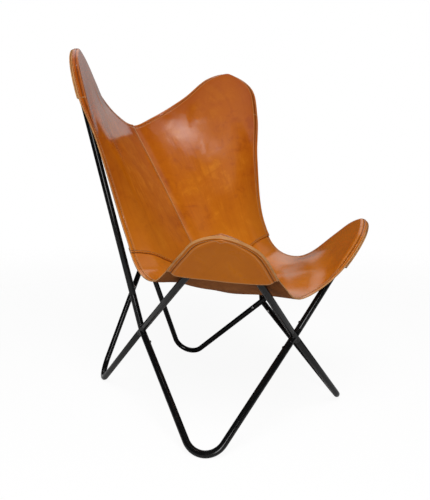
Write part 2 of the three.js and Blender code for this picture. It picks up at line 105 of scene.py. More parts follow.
# Edge of the leather and its sewing
EDGE_ROUND = 0.7 * MM
STITCH_INSET = 9 * MM
SEAM_STITCH_INSET = 4 * MM
STITCH_PITCH = 6 * MM
STITCH_LENGTH = 4.8 * MM
STITCH_ROUND_SHARE = 0.35
THREAD_DIAMETER = 1.0 * MM
THREAD_HEIGHT = LEATHER / 2 + THREAD_DIAMETER * 0.12
TACK_LENGTH = 18 * MM
TACK_ROWS = (-0.0009, 0.0009)

# How finely the sewing's lines are read, and the leather that they are laid on: from, to and count
SEWING_STEP = 2 * MM
FRONT_STEPS, SIDE_STEPS, TOP_STEPS = 240, 400, 300
SEAT_SEAM_STEPS, MIDDLE_SEAM_STEPS, TACK_STEPS = 160, 240, 20
HIDE_ACROSS = ((0, 0.9, 90), (0.9, 1, 60))
HIDE_ALONG = ((0, 0.04, 50), (0.04, 0.96, 180), (0.96, 1, 50))
HIDE_LAP_SHARE = 0.01
MIDDLE_GAP_SHARE = 0.0001
POCKET_HIDE_REACH = ((0, 0.2, 60), (0.2, 1, 100))
POCKET_HIDE_SHARE, POCKET_SEWN_SHARE = 1.2, 0.97

# Fineness of round things and of the leather's grid, and how near counts as the same place or way
TUBE_SIDES = 40
BEND_STEPS = 26
ARM_SIDES = 40
CONNECTOR_VOXEL = 0.6 * MM
LINE_STEPS = 60
FITTING_ROUNDS = 12
SAME_PLACE = 0.01 * MM
FACING = 0.9
GRID_STEP = 5 * MM
RIM_STEPS = np.array([0, 1, 2.5, 4.5, 6.5, 8.5, 11, 13.5, 16, 19, 22.5, 27]) * MM
POCKET_RINGS = 34
POCKET_RIM_SWINGS = np.array([0, 0.008, 0.02, 0.035, 0.052, 0.072, 0.095, 0.12])
POCKET_INNER_SWINGS = np.linspace(0.15, 0.85, 29)

# Camera, as found from the frame's crossings and bends in the photograph
IMAGE_HEIGHT = 500
CAMERA_PLACE = Vector((-945.4, -1031.4, 603.7)) * MM
CAMERA_TARGET = Vector((0, 33, 428.1)) * MM
FOCAL_PIXELS = 530.6
SHIFT_PIXELS = (13.6, -13.9)
SENSOR = 36

# Floor, and how bright the room is: as fill light, and as the gloss mirrors it
FLOOR_RADIUS = 4.0
FLOOR_PAINT = 0.88
FLOOR_GLOW = 0.93
FLOOR_SHADE_SHARE = 0.1
FLOOR_FADE = (0.25 * FLOOR_RADIUS, 0.8 * FLOOR_RADIUS)
FILL = 0.2
ROOM_IN_GLOSS = 0.03

# White panels that only the gloss mirrors: which way each lies, and where its soft edges begin and end
LOW_PANEL_WAY, LOW_PANEL_EDGES = Vector((0.80, 0.60)), (0.94, 0.97)
HIGH_PANEL_EDGES, HIGH_PANEL_FOOT = (0.84, 0.93), (0.56, 0.64)
SIDE_WALL_WAY, SIDE_WALL_EDGES, SIDE_WALL_FOOT = Vector((0.93, -0.36)), (0.8, 0.97), (0.6, 0.75)
SIDE_WALL_STRENGTH = 0.45
PANEL_HEIGHTS, PANEL_STRENGTHS = (0.05, 0.75), (0.25, 1.3)

# Lamps: name, place, what it points at, width and height, watts, seen in gloss, lights matt surfaces
LAMPS = [
    ("key_softbox", (-0.615, -0.46, 2.67), (0.122, 0.255, 0.725), (0.2, 0.26), 1.5, True, True),
    ("broad_fill", (-1.17, -1.29, 2.43), (0, 0, 0.5), (1.6, 1.6), 57, False, True),
    ("strip_by_camera", (-2.35, -3.24, 1.2), (0, 0, 0.5), (1.0, 2.2), 90, True, False),
]

ROD_RADIUS = ROD_DIAMETER / 2


# Small helpers

def toward(start, end):
    return (end - start).normalized()


def mirrored(point):
    return Vector((-point.x, point.y, point.z))


def lengths(vectors, **settings):
    return np.linalg.norm(vectors, axis=-1, **settings)


def unit(vectors):
    return vectors / lengths(vectors, keepdims=True)


def runs_along(line):
    """How far each of a line's places is from its start."""
    return np.concatenate([[0], np.cumsum(lengths(np.diff(line, axis=0)))])


def read_line(line, runs, spots):
    return np.stack([np.interp(spots, runs, line[:, axis]) for axis in range(3)], axis=-1)


def turned_along(direction, axis="Z"):
    """The turn that lays an object's axis along a direction."""
    return direction.to_track_quat(axis, "Y").to_euler()


def set_all(target, settings):
    for key, value in settings.items():
        setattr(target, key, value)
    return target


def to_mode(mode):
    bpy.ops.object.mode_set(mode=mode)


def pick(*pieces):
    """Selects these pieces alone in object mode, the first as the active one."""
    if bpy.context.mode != "OBJECT":
        to_mode("OBJECT")
    bpy.ops.object.select_all(action="DESELECT")
    for piece in pieces:
        piece.select_set(True)
    if pieces:
        bpy.context.view_layer.objects.active = pieces[0]


def rename(piece, name):
    piece.name = name
    piece.data.name = name


def into_scene(name, data):
    piece = bpy.data.objects.new(name, data)
    bpy.context.scene.collection.objects.link(piece)
    return piece


def start_piece(name, add_primitive, **settings):
    """Makes a primitive, names it and puts its place into its mesh."""
    pick()
    add_primitive(**settings)
    piece = bpy.context.active_object
    rename(piece, name)
    bpy.ops.object.transform_apply(location=True, rotation=True, scale=True)
    return piece


def edit_all():
    """Edit mode with everything selected."""
    to_mode("EDIT")
    bpy.ops.mesh.select_all(action="SELECT")


def edit_faces(piece, chosen):
    """Edit mode with only the faces selected that a test picks out."""
    to_mode("EDIT")
    bpy.ops.mesh.select_mode(type="FACE")
    bpy.ops.mesh.select_all(action="DESELECT")
    to_mode("OBJECT")
    for face in piece.data.polygons:
        face.select = chosen(face)
    to_mode("EDIT")


def add_modifier(piece, name, kind, **settings):
    set_all(piece.modifiers.new(name, kind), settings)


def apply_modifiers(piece):
    pick(piece)
    for modifier in list(piece.modifiers):
        bpy.ops.object.modifier_apply(modifier=modifier.name)


def join(pieces, name):
    pick(*pieces)
    bpy.ops.object.join()
    rename(pieces[0], name)
    return pieces[0]


def smooth_by_angle(piece, degrees):
    pick(piece)
    bpy.ops.object.shade_smooth_by_angle(angle=math.radians(degrees))


def give(piece, nodes, slot, *materials):
    """The piece stands for the CAD nodes, rides on the chair and takes its materials."""
    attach(piece, "root")
    if nodes:
        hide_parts(*nodes)
    piece.data.materials.clear()
    for material in materials:
        piece.data.materials.append(material)


# Bent rods

class Bend:
    """A centre line: straight from a, round an arc on the far side of its middle, straight to b."""

    def __init__(self, a, b, middle, radius):
        self.a, self.b, self.middle, self.radius = a, b, middle, radius
        to_a, to_b = a - middle, b - middle
        open_a = math.acos(radius / to_a.length)
        open_b = math.acos(radius / to_b.length)
        self.normal = to_a.cross(to_b).normalized()
        self.first_spoke = Quaternion(self.normal, -open_a) @ to_a.normalized()
        self.sweep = 2 * math.pi - open_a - open_b - to_a.angle(to_b)
        self.arc_start, self.arc_end = self.arc_point(0), self.arc_point(1)
        self.leg_a = (a - self.arc_start).length
        self.leg_b = (b - self.arc_end).length
        sitter = Vector((0, -middle.y / 2, middle.z)) - middle
        self.up = self.normal if self.normal.dot(sitter) > 0 else -self.normal

    def spoke(self, share):
        return Quaternion(self.normal, -self.sweep * share) @ self.first_spoke

    def arc_point(self, share):
        return self.middle + self.spoke(share) * self.radius

    def beside(self, share, outward, lift):
        """A place beside the rod, at a share of its length: outward in its plane, and lifted off it."""
        arc = self.sweep * self.radius
        run = share * (self.leg_a + arc + self.leg_b)
        turn = min(max((run - self.leg_a) / arc, 0), 1)
        past = min(run - self.leg_a, 0) + max(run - self.leg_a - arc, 0)
        spoke = self.spoke(turn)
        return self.arc_point(turn) + spoke.cross(self.normal) * past + spoke * outward + self.up * lift

    def distance_in_plane(self, points):
        """How far points lie from the centre line, measured in the rod's plane."""
        normal, middle = np.array(self.normal), np.array(self.middle)
        flat = points - ((points - middle) @ normal)[..., None] * normal

        def to_leg(end, tangent_point):
            start, leg = np.array(end), np.array(tangent_point - end)
            share = np.clip(((flat - start) @ leg) / (leg @ leg), 0, 1)
            return lengths(flat - start - share[..., None] * leg)

        spokes = flat - middle
        length = lengths(spokes)
        facing = (spokes @ np.array(self.spoke(0.5))) / np.maximum(length, MM * MM)
        on_arc = facing >= math.cos(self.sweep / 2)
        to_arc = np.where(on_arc, abs(length - self.radius), np.inf)
        legs = np.minimum(to_leg(self.a, self.arc_start), to_leg(self.b, self.arc_end))
        return np.minimum(legs, to_arc)


def foot_bend(a, b, x, y, radius):
    """A foot's arc is raised until the tube just stands on the floor, less its worn flat."""
    height = radius
    for _ in range(FITTING_ROUNDS):
        bend = Bend(a, b, Vector((x, y, height)), radius)
        height = ROD_RADIUS - FOOT_FLAT_DEPTH + radius * math.sqrt(1 - bend.normal.z ** 2)
    return bend


def frame_side(side):
    def at(place):
        return Vector((side * place.x, place.y, place.z))

    crossing = at(SIDE_CROSSING)
    return {
        "front_foot": foot_bend(crossing, FRONT_CROSSING, side * FRONT_FOOT_X, FRONT_FOOT_Y,
                                FRONT_FOOT_RADIUS),
        "back_foot": foot_bend(crossing, BACK_CROSSING, side * BACK_FOOT_X, BACK_FOOT_Y, BACK_FOOT_RADIUS),
        "back_loop": Bend(crossing, BACK_CROSSING, at(BACK_LOOP), BACK_LOOP_RADIUS),
        "front_loop": Bend(crossing, FRONT_CROSSING, at(FRONT_LOOP), FRONT_LOOP_RADIUS),
    }


BENDS = {"left": frame_side(1), "right": frame_side(-1)}


class Joint:
    """One rod end at a crossing: the connector's arm, its spigot inside the rod, and a screw."""

    def __init__(self, crossing, rod, start, tangent_point, arm):
        self.crossing, self.rod, self.start, self.arm = crossing, rod, start, arm
        self.direction = toward(start, tangent_point)


def all_joints():
    joints = []
    for side, bends in BENDS.items():
        for kind, bend in bends.items():
            side_arm = TALL_ARM_LENGTH if kind == "back_loop" else ARM_LENGTH
            middle = kind.split("_")[0]
            middle_arm = BACK_ARM_LENGTH if middle == "back" else ARM_LENGTH
            rod = f"{kind}_rod_{side}"
            joints.append(Joint(f"side_{side}", rod, bend.a, bend.arc_start, side_arm))
            joints.append(Joint(middle, rod, bend.b, bend.arc_end, middle_arm))
    for joint in joints:
        first, second = [other for other in joints if other.crossing == joint.crossing][:2]
        inward = Vector((-joint.start.x, -joint.start.y, 0))
        normal = first.direction.cross(second.direction)
        normal *= 1 if normal.dot(inward) > 0 else -1
        joint.screw_axis = (normal - joint.direction * normal.dot(joint.direction)).normalized()
        joint.screw_base = joint.start + joint.direction * (joint.arm + SCREW_SETBACK)
    return joints


JOINTS = all_joints()


# Colour and finish: node groups and materials

# Where the mix node has its share, its two colours and its mixed colour
MIX_SOCKETS, MIX_RESULT = (0, 6, 7), 2


def link(tree, socket, value):
    """Joins a socket to another node's output, or sets it to a constant."""
    if isinstance(value, bpy.types.NodeSocket):
        tree.links.new(value, socket)
    else:
        socket.default_value = value


def fill_inputs(tree, node, inputs):
    """Fills inputs that are named by their sockets, with underscores for spaces."""
    for key, value in inputs.items():
        link(tree, node.inputs[key.replace("_", " ")], value)


def add_node(tree, kind, settings=None, **inputs):
    """Adds a shader node; its kind leaves out the word ShaderNode that all kinds begin with."""
    node = set_all(tree.nodes.new("ShaderNode" + kind), settings or {})
    fill_inputs(tree, node, inputs)
    return node


def maths(tree, operation, *values, kind="Math", output=0, **inputs):
    """The result of a maths node, whose first inputs take the values in their order."""
    node = add_node(tree, kind, {"operation": operation}, **inputs)
    for socket, value in zip(node.inputs, values):
        link(tree, socket, value)
    return node.outputs[output]


def vector_maths(tree, operation, *values, output="Vector", **inputs):
    return maths(tree, operation, *values, kind="VectorMath", output=output, **inputs)


def remap(tree, value, low, high, to_low=0.0, to_high=1.0):
    """A smooth step: to_low where the value is at low, and to_high where it is at high."""
    settings = {"interpolation_type": "SMOOTHSTEP"}
    return add_node(tree, "MapRange", settings, Value=value, From_Min=low, From_Max=high,
                    To_Min=to_low, To_Max=to_high).outputs["Result"]


def noise(tree, vector, scale, detail=3.0, roughness=0.5, distortion=0.0):
    return add_node(tree, "TexNoise", Vector=vector, Scale=scale, Detail=detail,
                    Roughness=roughness, Distortion=distortion).outputs["Fac"]


def drawn_noise(tree, vector, scales, detail=3.0, roughness=0.5):
    """Noise drawn out along an axis, by a scale for each axis."""
    stretched = add_node(tree, "Mapping", Vector=vector, Scale=scales).outputs[0]
    return noise(tree, stretched, 1.0, detail, roughness)


def pushed(tree, place, vector, scale, detail, reach):
    """A place pushed about by noise that is read at the vector."""
    wander = add_node(tree, "TexNoise", Vector=vector, Scale=scale, Detail=detail).outputs["Color"]
    return vector_maths(tree, "ADD", place, vector_maths(tree, "SCALE", wander, Scale=reach))


def stacked(tree, base, *layers):
    """Adds layers to a base, each with its factor."""
    for value, factor in layers:
        base = maths(tree, "MULTIPLY_ADD", value, factor, base)
    return base


def mix_colour(tree, share, a, b):
    node = add_node(tree, "Mix", {"data_type": "RGBA"})
    for index, value in zip(MIX_SOCKETS, (share, a, b)):
        link(tree, node.inputs[index], value)
    return node.outputs[MIX_RESULT]


def tinted(tree, colour, *tints):
    """Lays tints over a colour, each with its mask and its strength."""
    for mask, strength, tint in tints:
        colour = mix_colour(tree, maths(tree, "MULTIPLY", mask, strength), colour, tint)
    return colour


FLOAT, COLOUR, VECTOR = "NodeSocketFloat", "NodeSocketColor", "NodeSocketVector"


def new_group(name, inputs, outputs):
    """A shader node group; a socket's name goes with its type, or with a number as its default."""
    group = bpy.data.node_groups.new(name, "ShaderNodeTree")
    for in_out, sockets in (("INPUT", inputs), ("OUTPUT", outputs)):
        for label, given in sockets.items():
            kind = given if isinstance(given, str) else FLOAT
            socket = group.interface.new_socket(label, in_out=in_out, socket_type=kind)
            if kind != given:
                socket.default_value = given
    return group, group.nodes.new("NodeGroupInput").outputs, group.nodes.new("NodeGroupOutput").inputs


def grain_group():
    """Fine pebbled leather grain with pores and a slow unevenness, as a height."""
    group, given, out = new_group(
        "leather_grain",
        {"Vector": VECTOR, "Pebble": 1.0, "Pores": 1.0, "Unevenness": 1.0},
        {"Height": FLOAT})
    place = given["Vector"]
    bent = pushed(group, place, place, 260.0, 2.0, 0.0022)
    cells = add_node(group, "TexVoronoi", {"feature": "DISTANCE_TO_EDGE"}, Vector=bent, Scale=620.0)
    pebble = remap(group, cells.outputs["Distance"], 0.0, 0.3)
    pores = remap(group, noise(group, place, 1500.0, 2.0), 0.35, 0.5)
    slow = noise(group, place, 38.0, 3.0, 0.55)
    slower = noise(group, place, 9.0, 2.0, 0.5)
    height = maths(group, "MULTIPLY", pebble, given["Pebble"])
    layers = ((pores, "Pores", 0.5), (slow, "Unevenness", 9.0), (slower, "Unevenness", 30.0))
    for layer, label, share in layers:
        height = stacked(group, height, (layer, maths(group, "MULTIPLY", given[label], share)))
    link(group, out["Height"], height)
    return group


def mottle_group():
    """Three tones of aniline dye that drift into each other, with darker clouds and faint streaks."""
    group, given, out = new_group(
        "dyed_mottling",
        {"Vector": VECTOR, "Dark": COLOUR, "Middle": COLOUR, "Light": COLOUR,
         "Strength": 1.0},
        {"Color": COLOUR, "Clouds": FLOAT})
    place = given["Vector"]
    broad = noise(group, place, 5.5, 4.0, 0.55, 0.6)
    middle = noise(group, place, 21.0, 5.0, 0.62, 0.9)
    fine = noise(group, place, 140.0, 4.0, 0.6)
    streaks = drawn_noise(group, place, (90.0, 90.0, 9.0), 3.0, 0.6)
    clouds = maths(group, "MULTIPLY", broad, 0.4)
    clouds = stacked(group, clouds, (middle, 0.42), (fine, 0.12), (streaks, 0.1))
    toned = mix_colour(group, remap(group, clouds, 0.36, 0.52), given["Dark"], given["Middle"])
    toned = mix_colour(group, remap(group, clouds, 0.52, 0.68), toned, given["Light"])
    link(group, out["Color"], mix_colour(group, given["Strength"], given["Middle"], toned))
    link(group, out["Clouds"], clouds)
    return group


def band_group():
    """A line at a distance from an edge: 1 in the middle of the band and 0 outside it."""
    group, given, out = new_group(
        "line_at_distance",
        {"Distance": 0.0, "At": 0.009, "Half Width": 0.001},
        {"Band": FLOAT})
    away = maths(group, "ABSOLUTE", maths(group, "SUBTRACT", given["Distance"], given["At"]))
    share = maths(group, "DIVIDE", away, given["Half Width"])
    link(group, out["Band"], remap(group, share, 1.0, 0.0))
    return group


def wear_group():
    """Where a coat is a little dusty or rubbed, from slow noise."""
    group, given, out = new_group(
        "light_wear",
        {"Vector": VECTOR, "Scale": 30.0, "Amount": 0.3},
        {"Mask": FLOAT})
    spots = noise(group, given["Vector"], given["Scale"], 5.0, 0.65, 0.4)
    link(group, out["Mask"], maths(group, "MULTIPLY", remap(group, spots, 0.5, 0.75), given["Amount"]))
    return group


def stroke_group():
    """Strokes of the dye brush along a piece of leather, whose place across and along it is given."""
    group, given, out = new_group(
        "brush_strokes",
        {"Vector": VECTOR, "Place": VECTOR, "Drift": 0.02},
        {"Strokes": FLOAT, "Bands": FLOAT})
    place = pushed(group, given["Place"], given["Vector"], 7.0, 1.0, given["Drift"])
    link(group, out["Strokes"], drawn_noise(group, place, (170.0, 6.0, 1.0), 3.0, 0.6))
    link(group, out["Bands"], drawn_noise(group, place, (60.0, 3.5, 1.0), 3.0, 0.55))
    return group


GRAIN, MOTTLE, BAND, WEAR = grain_group(), mottle_group(), band_group(), wear_group()
STROKES = stroke_group()

# How high the finish stands for each unit of its pattern
GRAIN_RISE, FLESH_RISE, CUT_RISE = 0.08 * MM, 0.2 * MM, 0.3 * MM
COAT_RISE, ZINC_RISE, THREAD_RISE = 0.012 * MM, 0.05 * MM, 0.2 * MM

# The outer side's lines: half widths, how far the shoulder is from its groove, and where fades begin and end
GROOVE_HALF, SEAM_GROOVE_HALF = 1.7 * MM, 1.4 * MM
SHOULDER_OFFSET, SHOULDER_HALF = 4 * MM, 2.2 * MM
LIP_FADE, RIM_FADE = (2.8 * MM, 0.8 * MM), (85 * MM, 8 * MM)
DARK_TOP_FADE, PALE_SEAT_FADE = (0.55, 0.9), (0.56, 0.38)
GROOVE_BROWN = (0.11, 0.025, 0.004, 1)
# The raw lips' own pale colour, also laid on the shoulder inside the stitch groove as a painted highlight
PALE_LIP_AND_HIGHLIGHT = (0.62, 0.33, 0.14, 1)


def use_group(tree, group, **inputs):
    return add_node(tree, "Group", {"node_tree": group}, **inputs).outputs


def band(tree, distance, at, half_width):
    return use_group(tree, BAND, Distance=distance, At=at, Half_Width=half_width)["Band"]


def attribute(tree, name, output="Fac"):
    return add_node(tree, "Attribute", {"attribute_name": name}).outputs[output]


def empty_tree(owner):
    owner.use_nodes = True
    owner.node_tree.nodes.clear()
    return owner.node_tree


def new_material(name):
    """A material with one shader, and the place on the piece that its patterns are read at."""
    material = bpy.data.materials.new(name)
    tree = empty_tree(material)
    shader = add_node(tree, "BsdfPrincipled")
    add_node(tree, "OutputMaterial", Surface=shader.outputs[0])
    place = add_node(tree, "TexCoord").outputs["Object"]
    return material, tree, shader, place


def finish_shader(tree, shader, height, rise, **inputs):
    """Fills the shader's inputs and raises its surface by a pattern."""
    raised = add_node(tree, "Bump", Height=height, Distance=rise).outputs[0]
    fill_inputs(tree, shader, {"Normal": raised, **inputs})


def grain_side(name, dark, middle, light, roughness, polish):
    """The waxed outer side of the leather: darker toward its rim, with a stitch groove, pale lips and a
    painted highlight beside the groove.
    """
    material, tree, shader, place = new_material(name)
    mottle = use_group(tree, MOTTLE, Vector=place, Dark=dark, Middle=middle, Light=light, Strength=1.0)
    laid_out = attribute(tree, "leather_place", "Vector")
    reach = add_node(tree, "SeparateXYZ", Vector=laid_out).outputs["Y"]
    brushed = use_group(tree, STROKES, Vector=place, Place=laid_out)
    edge = attribute(tree, "edge_distance")
    groove = band(tree, edge, STITCH_INSET, GROOVE_HALF)
    seam_groove = band(tree, attribute(tree, "seam_distance"), SEAM_STITCH_INSET, SEAM_GROOVE_HALF)
    grooves = maths(tree, "MAXIMUM", groove, seam_groove)
    shoulder = band(tree, edge, STITCH_INSET + SHOULDER_OFFSET, SHOULDER_HALF)
    worn = use_group(tree, WEAR, Vector=place, Scale=55.0, Amount=0.45)["Mask"]
    colour = tinted(tree, mottle["Color"],
                    (remap(tree, brushed["Strokes"], 0.5, 0.72), 0.22, dark),
                    (remap(tree, brushed["Bands"], 0.5, 0.7), 0.3, dark),
                    (remap(tree, edge, *RIM_FADE), 0.5, dark),
                    (remap(tree, reach, *DARK_TOP_FADE), 0.5, dark),
                    (remap(tree, reach, *PALE_SEAT_FADE), 0.5, light),
                    (worn, 0.12, light),
                    # painted highlight: the swelling inside the stitch groove is tinted pale as if lit
                    (shoulder, 0.35, PALE_LIP_AND_HIGHLIGHT),
                    (remap(tree, attribute(tree, "lip_distance"), *LIP_FADE), 0.7, PALE_LIP_AND_HIGHLIGHT),
                    (grooves, 0.8, GROOVE_BROWN))
    shine = remap(tree, mottle["Clouds"], 0.35, 0.65, roughness + 0.04, roughness - 0.03)
    pattern = use_group(tree, GRAIN, Vector=place, Pebble=0.12, Pores=0.22, Unevenness=0.45)["Height"]
    pattern = stacked(tree, pattern, (brushed["Strokes"], 1.5), (grooves, -9.0), (shoulder, 4.0))
    finish_shader(tree, shader, pattern, GRAIN_RISE, Base_Color=colour,
                  Roughness=stacked(tree, shine, (worn, 0.08)), Specular_IOR_Level=polish)
    return material


def flesh_side():
    material, tree, shader, place = new_material("leather_flesh_side")
    mottle = use_group(tree, MOTTLE, Vector=place, Dark=(0.12, 0.034, 0.006, 1),
                       Middle=(0.22, 0.068, 0.012, 1), Light=(0.31, 0.105, 0.022, 1), Strength=0.9)
    nap = noise(tree, place, 900.0, 4.0, 0.7)
    fibres = drawn_noise(tree, place, (1500.0, 350.0, 700.0))
    finish_shader(tree, shader, maths(tree, "ADD", fibres, nap), FLESH_RISE, Base_Color=mottle["Color"],
                  Roughness=remap(tree, nap, 0.3, 0.7, 0.72, 0.9), Specular_IOR_Level=0.15)
    return material


def cut_edge():
    """The sliced edge: paler, fibrous and partly burnished."""
    material, tree, shader, place = new_material("leather_cut_edge")
    fibres = noise(tree, place, 420.0, 5.0, 0.65, 0.5)
    burnish = remap(tree, noise(tree, place, 24.0, 3.0), 0.4, 0.65)
    colour = mix_colour(tree, fibres, (0.42, 0.16, 0.035, 1), (0.70, 0.37, 0.14, 1))
    finish_shader(tree, shader, fibres, CUT_RISE, Roughness=remap(tree, burnish, 0.0, 1.0, 0.62, 0.4),
                  Base_Color=tinted(tree, colour, (burnish, 0.4, (0.26, 0.08, 0.014, 1))))
    return material


def powder_coat():
    material, tree, shader, place = new_material("black_powder_coat")
    orange_peel = noise(tree, place, 700.0, 2.0, 0.5)
    slow = noise(tree, place, 60.0, 2.0, 0.5)
    worn = use_group(tree, WEAR, Vector=place, Scale=45.0, Amount=1.0)["Mask"]
    colour = tinted(tree, (0.0045, 0.0045, 0.0048, 1), (worn, 0.5, (0.013, 0.012, 0.011, 1)))
    finish_shader(tree, shader, maths(tree, "ADD", slow, orange_peel), COAT_RISE, Base_Color=colour,
                  Roughness=maths(tree, "MULTIPLY_ADD", worn, 0.1, 0.16), Specular_IOR_Level=0.25)
    return material


def zinc_plate():
    material, tree, shader, place = new_material("bright_zinc")
    dull = noise(tree, place, 900.0, 4.0, 0.6)
    colour = mix_colour(tree, dull, (0.42, 0.42, 0.43, 1), (0.68, 0.68, 0.67, 1))
    finish_shader(tree, shader, dull, ZINC_RISE, Base_Color=colour, Metallic=1.0,
                  Roughness=remap(tree, dull, 0.3, 0.7, 0.22, 0.4))
    return material


def sewing_thread():
    material, tree, shader, place = new_material("waxed_thread")
    ply = noise(tree, place, 1800.0, 3.0, 0.6)
    colour = mix_colour(tree, ply, (0.36, 0.15, 0.05, 1), (0.62, 0.32, 0.13, 1))
    finish_shader(tree, shader, ply, THREAD_RISE, Base_Color=colour, Roughness=0.55)
    return material


TAN = grain_side("tan_leather", dark=(0.34, 0.060, 0.002, 1), middle=(0.51, 0.13, 0.004, 1),
                 light=(0.63, 0.195, 0.011, 1), roughness=0.15, polish=0.5)
# A lighter copy of the tan for the pockets: painted light, making up for the shade they hang in under the
# sling; their duller gloss is their own
POCKET_TAN_PAINTED_LIGHTER = grain_side("pocket_tan_leather", dark=(0.40, 0.075, 0.002, 1), middle=(0.56, 0.14, 0.003, 1),
                        light=(0.68, 0.20, 0.008, 1), roughness=0.3, polish=0.12)
FLESH, CUT, BLACK, ZINC, THREAD = flesh_side(), cut_edge(), powder_coat(), zinc_plate(), sewing_thread()


# The steel frame

def make_rod(name, bend, trim_a, trim_b, is_foot):
    """A ring run along the first leg, spun round the bend and run along the second leg."""
    leg = toward(bend.a, bend.arc_start)
    start = bend.a + leg * trim_a
    rod = start_piece(f"{name}_tube", bpy.ops.mesh.primitive_circle_add, vertices=TUBE_SIDES,
                      radius=ROD_RADIUS, fill_type="NOTHING", location=start, rotation=turned_along(leg))
    edit_all()
    bpy.ops.mesh.extrude_edges_move(TRANSFORM_OT_translate={"value": bend.arc_start - start})
    bpy.ops.mesh.spin(steps=BEND_STEPS, angle=bend.sweep, center=bend.middle, axis=bend.normal)
    end_run = toward(bend.arc_end, bend.b) * (bend.leg_b - trim_b)
    bpy.ops.mesh.extrude_edges_move(TRANSFORM_OT_translate={"value": end_run})
    bpy.ops.mesh.select_all(action="SELECT")
    bpy.ops.mesh.remove_doubles(threshold=SAME_PLACE)
    bpy.ops.mesh.normals_make_consistent(inside=False)
    to_mode("OBJECT")
    add_modifier(rod, "wall", "SOLIDIFY", thickness=ROD_WALL, offset=-1)
    add_modifier(rod, "lips", "BEVEL", width=ROD_WALL / 5, segments=2, limit_method="ANGLE",
                 angle_limit=math.radians(50))
    apply_modifiers(rod)
    if is_foot:
        edit_all()
        bpy.ops.mesh.bisect(plane_co=(0, 0, 0), plane_no=(0, 0, 1), use_fill=True, clear_inner=True)
        to_mode("OBJECT")
    smooth_by_angle(rod, 35)
    give(rod, [name], "steel_tube", BLACK)


def make_rods():
    for side, bends in BENDS.items():
        for kind, bend in bends.items():
            name = f"{kind}_rod_{side}"
            side_end, middle_end = [joint for joint in JOINTS if joint.rod == name]
            make_rod(name, bend, side_end.arm + SEAT_GAP, middle_end.arm + SEAT_GAP, "foot" in kind)


def joints_at(crossing):
    return [joint for joint in JOINTS if joint.crossing == crossing]


def make_arm(joint):
    """A round arm from the crossing, its end inset and drawn out into the spigot."""
    arm = start_piece("arm", bpy.ops.mesh.primitive_cylinder_add, vertices=ARM_SIDES, radius=ROD_RADIUS,
                      depth=joint.arm, location=joint.start + joint.direction * (joint.arm / 2),
                      rotation=turned_along(joint.direction))
    edit_faces(arm, lambda face: face.normal.dot(joint.direction) > FACING)
    bpy.ops.mesh.inset(thickness=ROD_RADIUS - SPIGOT_RADIUS)
    bpy.ops.mesh.extrude_region_move(TRANSFORM_OT_translate={"value": joint.direction * SPIGOT_LENGTH})
    to_mode("OBJECT")
    return arm


def make_connector(crossing):
    """Four arms fused where they cross, with the weld's soft fillets."""
    body = join([make_arm(joint) for joint in joints_at(crossing)], f"{crossing}_cross")
    add_modifier(body, "fuse", "REMESH", mode="VOXEL", voxel_size=CONNECTOR_VOXEL)
    add_modifier(body, "soften", "SMOOTH", factor=0.5, iterations=4)
    apply_modifiers(body)
    smooth_by_angle(body, 60)
    give(body, [f"{crossing}_connector"], "steel_tube", BLACK)


def model_screw():
    """One pan-head screw on the Z axis, its head's underside at zero, with a cross recess."""
    head_radius, shank_radius = SCREW_HEAD_DIAMETER / 2, SCREW_SHANK_DIAMETER / 2
    screw = start_piece("screw", bpy.ops.mesh.primitive_cylinder_add, vertices=32, radius=head_radius,
                        depth=SCREW_HEAD_HEIGHT, location=(0, 0, SCREW_HEAD_HEIGHT / 2))
    edit_faces(screw, lambda face: face.normal.z > FACING)
    bpy.ops.mesh.bevel(offset=SCREW_HEAD_HEIGHT * HEAD_ROUND_SHARE, segments=5, affect="EDGES")
    edit_faces(screw, lambda face: face.normal.z < -FACING)
    bpy.ops.mesh.inset(thickness=head_radius - shank_radius)
    bpy.ops.mesh.extrude_region_move(TRANSFORM_OT_translate={"value": (0, 0, -SCREW_SHANK_LENGTH)})
    to_mode("OBJECT")
    for turn in (0, math.pi / 2):
        recess = start_piece("recess", bpy.ops.mesh.primitive_cube_add, size=1, rotation=(0, 0, turn),
                             location=(0, 0, SCREW_HEAD_HEIGHT), scale=RECESS_SIZE)
        add_modifier(screw, "recess", "BOOLEAN", object=recess, solver="EXACT")
        apply_modifiers(screw)
        bpy.data.objects.remove(recess)
    return screw


def make_screws():
    pattern = model_screw()
    for crossing in CROSSINGS:
        for number, joint in enumerate(joints_at(crossing), 1):
            screw = into_scene(f"{crossing}_pan_screw_{number}", pattern.data.copy())
            spin = Quaternion((0, 0, 1), FIRST_SCREW_TURN + SCREW_TURN_STEP * number)
            turn = joint.screw_axis.to_track_quat("Z", "Y") @ spin
            seat = joint.screw_base + joint.screw_axis * (ROD_RADIUS + SEAT_GAP)
            screw.data.transform(Matrix.Translation(seat) @ turn.to_matrix().to_4x4())
            smooth_by_angle(screw, 30)
            give(screw, [f"{crossing}_screw_{number}"], "screw_zinc", ZINC)
    bpy.data.objects.remove(pattern)


# The sling's middle surface, as in the part's source

def catmull(points, closed):
    """The points of a smooth centripetal line, LINE_STEPS to each stretch between two given points."""
    given = [np.array(point) for point in points]
    count = len(given)
    spots = []
    for index in range(count if closed else count - 1):
        def at(step):
            place = index + step
            if closed:
                return given[place % count]
            if place < 0:
                return 2 * given[0] - given[1]
            return given[place] if place < count else 2 * given[-1] - given[-2]

        p = [at(step) for step in (-1, 0, 1, 2)]
        d = [np.linalg.norm(b - a) ** 0.5 for a, b in zip(p, p[1:])]
        leave = (p[1] - p[0]) / d[0] - (p[2] - p[0]) / (d[0] + d[1]) + (p[2] - p[1]) / d[1]
        arrive = (p[2] - p[1]) / d[1] - (p[3] - p[1]) / (d[1] + d[2]) + (p[3] - p[2]) / d[2]
        leave, arrive = leave * d[1], arrive * d[1]
        t = (np.arange(LINE_STEPS) / LINE_STEPS)[:, None]
        spots.append(p[1] + leave * t + (3 * (p[2] - p[1]) - 2 * leave - arrive) * t ** 2
                     + (2 * (p[1] - p[2]) + leave + arrive) * t ** 3)
    spots.append(given[0 if closed else -1][None])
    return np.concatenate(spots)


